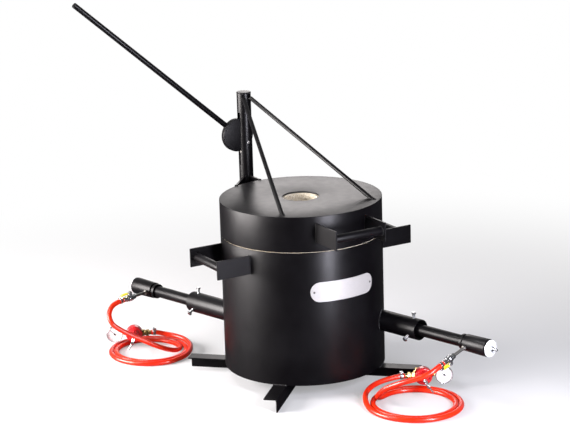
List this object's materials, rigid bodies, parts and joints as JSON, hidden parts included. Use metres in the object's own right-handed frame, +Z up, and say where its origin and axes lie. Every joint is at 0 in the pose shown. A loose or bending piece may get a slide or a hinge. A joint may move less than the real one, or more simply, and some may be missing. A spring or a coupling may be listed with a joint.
{
  "type": "gas forge",
  "caption": "Round lined gas forge on four legs, with a cam-lifted swing lid on a rear post, two side burners, hoses and pressure regulators.",
  "frame": {"origin": "centre of the base plate's underside; the floor lies 40 mm lower, at the legs' bottom edges", "axes": "+Z up, -Y to the front with the name plate and the lid handle, +Y to the lid's post, +X to the right as seen from the front"},
  "size_m": [0.8666, 1.1684, 1.1172],
  "materials": {
    "black_paint": "semi-gloss black paint over steel",
    "bare_steel": "bare ground steel",
    "zinc": "bright zinc plating",
    "refractory": "rough cast refractory, speckled cream",
    "aluminium": "brushed sheet",
    "orange_hose": "glossy orange gas hose",
    "red_enamel": "gloss red enamel",
    "yellow_vinyl": "dipped yellow vinyl",
    "dial_black": "matt black"
  },
  "bodies": {
    "root": {"drum_shell": "black_paint", "base_plate": "black_paint", "wall_lining": "refractory", "floor_lining": "refractory", "leg_front_left": "black_paint", "leg_front_right": "black_paint", "leg_back_right": "black_paint", "leg_back_left": "black_paint", "left_handle": "black_paint", "right_handle": "black_paint", "name_plate": "aluminium", "post": "black_paint", "post_bracket_upper": "black_paint", "post_bracket_lower": "black_paint", "right_burner_holder": "black_paint", "right_set_screw_top": "zinc", "right_set_screw_low": "zinc", "right_burner_tube": "black_paint", "right_burner_bell": "black_paint", "right_choke_stud": "zinc", "right_jet_pipe": "bare_steel", "right_valve_body": "zinc", "right_hose_drop": "orange_hose", "right_hose_coil": "orange_hose", "right_regulator_body": "red_enamel", "right_gauge_case": "bare_steel", "left_burner_holder": "black_paint", "left_set_screw_top": "zinc", "left_set_screw_low": "zinc", "left_burner_tube": "black_paint", "left_burner_bell": "black_paint", "left_choke_stud": "zinc", "left_jet_pipe": "bare_steel", "left_valve_body": "zinc", "left_hose_drop": "orange_hose", "left_hose_coil": "orange_hose", "left_regulator_body": "red_enamel", "left_gauge_case": "bare_steel"},
    "swivel": {"thrust_cap": "bare_steel"},
    "lid": {"lid_shell": "black_paint", "lid_lining": "refractory", "mast_tube": "black_paint", "mast_cap": "black_paint", "mast_web": "black_paint", "mast_brace": "black_paint", "stay_left": "black_paint", "stay_right": "black_paint", "lid_handle": "black_paint", "cam_pin": "bare_steel"},
    "lever": {"cam_disc": "black_paint", "lever_rod": "black_paint"},
    "right_choke": {"right_choke_disc": "zinc"},
    "right_valve_lever": {"right_valve_lever": "yellow_vinyl"},
    "right_regulator_screw": {"right_regulator_screw": "zinc"},
    "right_needle": {"right_gauge_needle": "dial_black"},
    "left_choke": {"left_choke_disc": "zinc"},
    "left_valve_lever": {"left_valve_lever": "yellow_vinyl"},
    "left_regulator_screw": {"left_regulator_screw": "zinc"},
    "left_needle": {"left_gauge_needle": "dial_black"}
  },
  "joints": [
    {"name": "lid_swing", "type": "hinge", "parent": "root", "child": "swivel", "pos_m": [0, 0.317, 0.5725], "axis": [0, 0, 1], "range_deg": [-120, 30]},
    {"name": "lid_lift", "type": "slide", "parent": "swivel", "child": "lid", "axis": [0, 0, 1], "range_m": [0, 0.041]},
    {"name": "lever_turn", "type": "hinge", "parent": "lid", "child": "lever", "pos_m": [0, 0.317, 0.6], "axis": [0, -1, 0], "range_deg": [0, 72]},
    {"name": "right_choke_slide", "type": "slide", "parent": "root", "child": "right_choke", "axis": [0.2588, -0.9659, 0], "range_m": [-0.003, 0.012]},
    {"name": "right_valve_turn", "type": "hinge", "parent": "root", "child": "right_valve_lever", "pos_m": [0.16378, -0.51206, 0.11323], "axis": [0.2337, 0.0626, -0.9703], "range_deg": [0, 90]},
    {"name": "right_regulator_turn", "type": "hinge", "parent": "root", "child": "right_regulator_screw", "pos_m": [0.2, -0.323, 0.0025], "axis": [-0.4226, -0.9063, 0], "range_deg": [-720, 720]},
    {"name": "right_needle_turn", "type": "hinge", "parent": "root", "child": "right_needle", "pos_m": [0.25438, -0.34836, 0.0025], "axis": [-0.4226, -0.9063, 0], "range_deg": [-270, 0]},
    {"name": "left_choke_slide", "type": "slide", "parent": "root", "child": "left_choke", "axis": [-0.2588, 0.9659, 0], "range_m": [-0.003, 0.012]},
    {"name": "left_valve_turn", "type": "hinge", "parent": "root", "child": "left_valve_lever", "pos_m": [-0.33502, 0.46618, 0.13186], "axis": [-0.0337, -0.009, 0.9994], "range_deg": [0, 90]},
    {"name": "left_regulator_turn", "type": "hinge", "parent": "root", "child": "left_regulator_screw", "pos_m": [-0.308, 0.508, 0.0025], "axis": [-0.5, -0.866, 0], "range_deg": [-720, 720]},
    {"name": "left_needle_turn", "type": "hinge", "parent": "root", "child": "left_needle", "pos_m": [-0.35996, 0.538, 0.0025], "axis": [-0.5, -0.866, 0], "range_deg": [-270, 0]}
  ],
  "couplings": [
    {"joint": "lever_turn", "follows": "lid_lift", "rad_per_m": 30.65}
  ]
}
